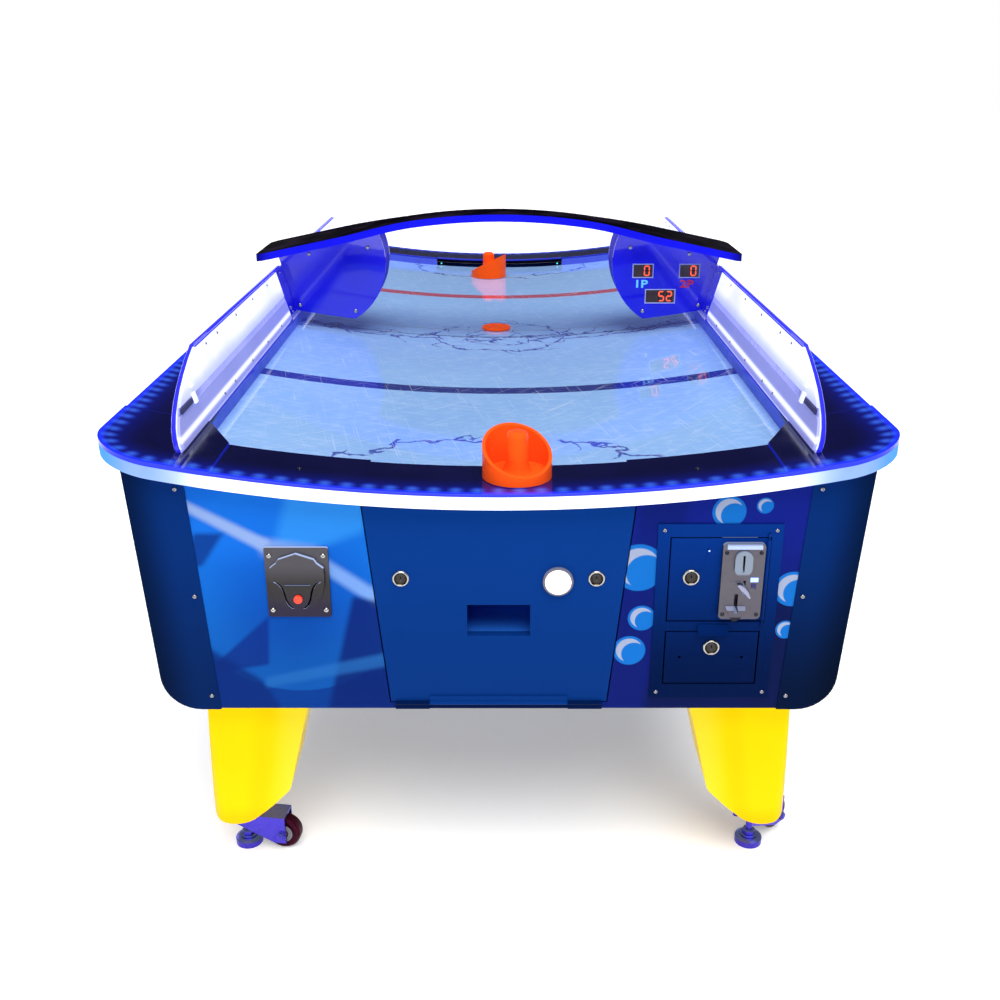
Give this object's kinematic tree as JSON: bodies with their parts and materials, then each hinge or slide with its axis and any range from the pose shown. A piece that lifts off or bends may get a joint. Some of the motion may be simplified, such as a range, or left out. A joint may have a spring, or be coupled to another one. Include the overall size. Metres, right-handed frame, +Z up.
{
  "type": "air hockey table",
  "caption": "Curved air hockey table with a lit rim, leaning side guards, an arched score bridge, coin gear, moulded legs and levelling casters.",
  "frame": {"origin": "on the floor under the middle of the table", "axes": "+X to the right seen from the coin end, +Y along the table away from the coin end, +Z up"},
  "size_m": [1.21, 2.22, 0.997],
  "materials": {
    "deck_black": "glossy black deck",
    "rim_core": "painted board",
    "lit_band": "translucent lit edge",
    "field_white": "polished field",
    "board": "raw board",
    "cabinet_blue": "blue laminate",
    "panel_art": "printed laminate",
    "door_blue": "printed laminate",
    "corner_blue": "metallic blue",
    "coin_blue": "satin blue",
    "steel": "plain steel",
    "zinc": "zinc plated",
    "chrome": "polished",
    "cast_silver": "cast, satin",
    "reader_grey": "satin grey",
    "lens_white": "lit white",
    "lens_red": "lit red",
    "bridge_blue": "glossy blue",
    "display": "dark display",
    "clear_pane": "clear acrylic",
    "frosted": "frosted, lit",
    "channel": "anodised",
    "leg_yellow": "moulded, yellow",
    "tread_red": "dark red tread",
    "black_plastic": "black",
    "grey_plastic": "grey",
    "striker_orange": "orange-red"
  },
  "bodies": {
    "table": {"rim_frame": "rim_core", "edge_band": "lit_band", "end_decks": "deck_black", "side_decks": "deck_black", "corner_caps": "deck_black", "playfield": "field_white", "air_plenum": "board", "plenum_shelf": "board", "side_walls": "cabinet_blue", "base_board": "cabinet_blue", "front_panel": "panel_art", "rear_panel": "panel_art", "corner_guards": "corner_blue", "front_hinge": "coin_blue", "rear_service_panel": "door_blue", "puck_trays": "steel", "puck_chutes": "steel", "coin_frame": "coin_blue", "token_reader": "reader_grey", "arch": "deck_black", "bridge_posts": "bridge_blue", "post_faces": "bridge_blue", "score_displays": "display", "bridge_brackets": "bridge_blue", "guard_panes": "clear_pane", "guard_strips": "frosted", "guard_channels": "channel", "legs": "leg_yellow", "levelling_feet": "zinc", "blower_housing": "black_plastic", "blower_motor": "steel", "control_box": "grey_plastic"},
    "access_door": {"front_door": "door_blue", "front_locks": "chrome", "start_bezel": "chrome"},
    "door_lock_left": {"front_plug_left": "steel"},
    "door_lock_right": {"front_plug_right": "steel"},
    "start_button": {"start_plunger": "lens_white"},
    "coin_hatch": {"coin_door": "coin_blue", "coin_acceptor": "cast_silver", "coin_lock": "chrome"},
    "coin_lever": {"reject_lever": "cast_silver"},
    "coin_key": {"coin_plug": "steel"},
    "cash_box": {"cash_drawer": "coin_blue", "cash_lock": "chrome"},
    "cash_key": {"cash_plug": "steel"},
    "token_button": {"reader_button": "lens_red"},
    "impeller": {"blower_impeller": "grey_plastic"},
    "loose_puck": {"puck": "striker_orange"},
    "near_striker": {"striker_near": "striker_orange"},
    "far_striker": {"striker_far": "striker_orange"},
    "caster_front_left": {"fork_front_left": "zinc"},
    "roller_front_left": {"wheel_front_left": "tread_red"},
    "caster_front_right": {"fork_front_right": "zinc"},
    "roller_front_right": {"wheel_front_right": "tread_red"},
    "caster_rear_left": {"fork_rear_left": "zinc"},
    "roller_rear_left": {"wheel_rear_left": "tread_red"},
    "caster_rear_right": {"fork_rear_right": "zinc"},
    "roller_rear_right": {"wheel_rear_right": "tread_red"}
  },
  "joints": [
    {"name": "access_door_swing", "type": "hinge", "parent": "table", "child": "access_door", "pos_m": [0, -1.086, 0.3615], "axis": [1, 0, 0], "range_deg": [0, 95]},
    {"name": "door_lock_left_turn", "type": "hinge", "parent": "access_door", "child": "door_lock_left", "pos_m": [-0.15, -1.083, 0.58], "axis": [0, 1, 0], "range_deg": [0, 90]},
    {"name": "door_lock_right_turn", "type": "hinge", "parent": "access_door", "child": "door_lock_right", "pos_m": [0.15, -1.083, 0.58], "axis": [0, -1, 0], "range_deg": [0, 90]},
    {"name": "start_button_press", "type": "slide", "parent": "access_door", "child": "start_button", "axis": [0, 1, 0], "range_m": [0, 0.004], "stiffness_N_per_m": 400},
    {"name": "coin_hatch_swing", "type": "hinge", "parent": "table", "child": "coin_hatch", "pos_m": [0.408, -1.0865, 0.5785], "axis": [0, 0, 1], "range_deg": [0, 100]},
    {"name": "coin_lever_tip", "type": "hinge", "parent": "coin_hatch", "child": "coin_lever", "pos_m": [0.37475, -1.081, 0.5685], "axis": [1, 0, 0], "range_deg": [0, 10], "stiffness_Nm_per_rad": 0.05},
    {"name": "coin_key_turn", "type": "hinge", "parent": "coin_hatch", "child": "coin_key", "pos_m": [0.294, -1.085, 0.583], "axis": [0, 1, 0], "range_deg": [0, 90]},
    {"name": "cash_box_pull", "type": "slide", "parent": "table", "child": "cash_box", "axis": [0, -1, 0], "range_m": [0, 0.16]},
    {"name": "cash_key_turn", "type": "hinge", "parent": "cash_box", "child": "cash_key", "pos_m": [0.333, -1.085, 0.462], "axis": [0, 1, 0], "range_deg": [0, 90]},
    {"name": "token_button_press", "type": "slide", "parent": "table", "child": "token_button", "axis": [0, 1, 0], "range_m": [0, 0.0025], "stiffness_N_per_m": 250},
    {"name": "impeller_spin", "type": "hinge", "parent": "table", "child": "impeller", "pos_m": [0, 0, 0.54], "axis": [0, 0, 1], "continuous": true},
    {"name": "puck_glide", "type": "slide", "parent": "table", "child": "loose_puck", "axis": [0, -1, 0], "range_m": [-0.62, 0.94]},
    {"name": "near_striker_lift", "type": "slide", "parent": "table", "child": "near_striker", "axis": [0, 0, 1], "range_m": [0, 0.25]},
    {"name": "far_striker_glide", "type": "slide", "parent": "table", "child": "far_striker", "axis": [0, -1, 0], "range_m": [0, 0.6]},
    {"name": "caster_front_left_swivel", "type": "hinge", "parent": "table", "child": "caster_front_left", "pos_m": [-0.452, -0.968, 0.07], "axis": [0, 0, 1], "continuous": true},
    {"name": "roller_front_left_spin", "type": "hinge", "parent": "caster_front_left", "child": "roller_front_left", "pos_m": [-0.38466, -0.97746, 0.0316], "axis": [0.1392, 0.9903, 0], "continuous": true},
    {"name": "caster_front_right_swivel", "type": "hinge", "parent": "table", "child": "caster_front_right", "pos_m": [0.452, -0.968, 0.07], "axis": [0, 0, 1], "continuous": true},
    {"name": "roller_front_right_spin", "type": "hinge", "parent": "caster_front_right", "child": "roller_front_right", "pos_m": [0.50173, -0.92162, 0.0316], "axis": [-0.682, 0.7314, 0], "continuous": true},
    {"name": "caster_rear_left_swivel", "type": "hinge", "parent": "table", "child": "caster_rear_left", "pos_m": [-0.452, 0.968, 0.07], "axis": [0, 0, 1], "continuous": true},
    {"name": "roller_rear_left_spin", "type": "hinge", "parent": "caster_rear_left", "child": "roller_rear_left", "pos_m": [-0.3881, 0.99126, 0.0316], "axis": [-0.342, 0.9397, 0], "continuous": true},
    {"name": "caster_rear_right_swivel", "type": "hinge", "parent": "table", "child": "caster_rear_right", "pos_m": [0.452, 0.968, 0.07], "axis": [0, 0, 1], "continuous": true},
    {"name": "roller_rear_right_spin", "type": "hinge", "parent": "caster_rear_right", "child": "roller_rear_right", "pos_m": [0.51934, 0.95854, 0.0316], "axis": [0.1392, 0.9903, 0], "continuous": true}
  ]
}
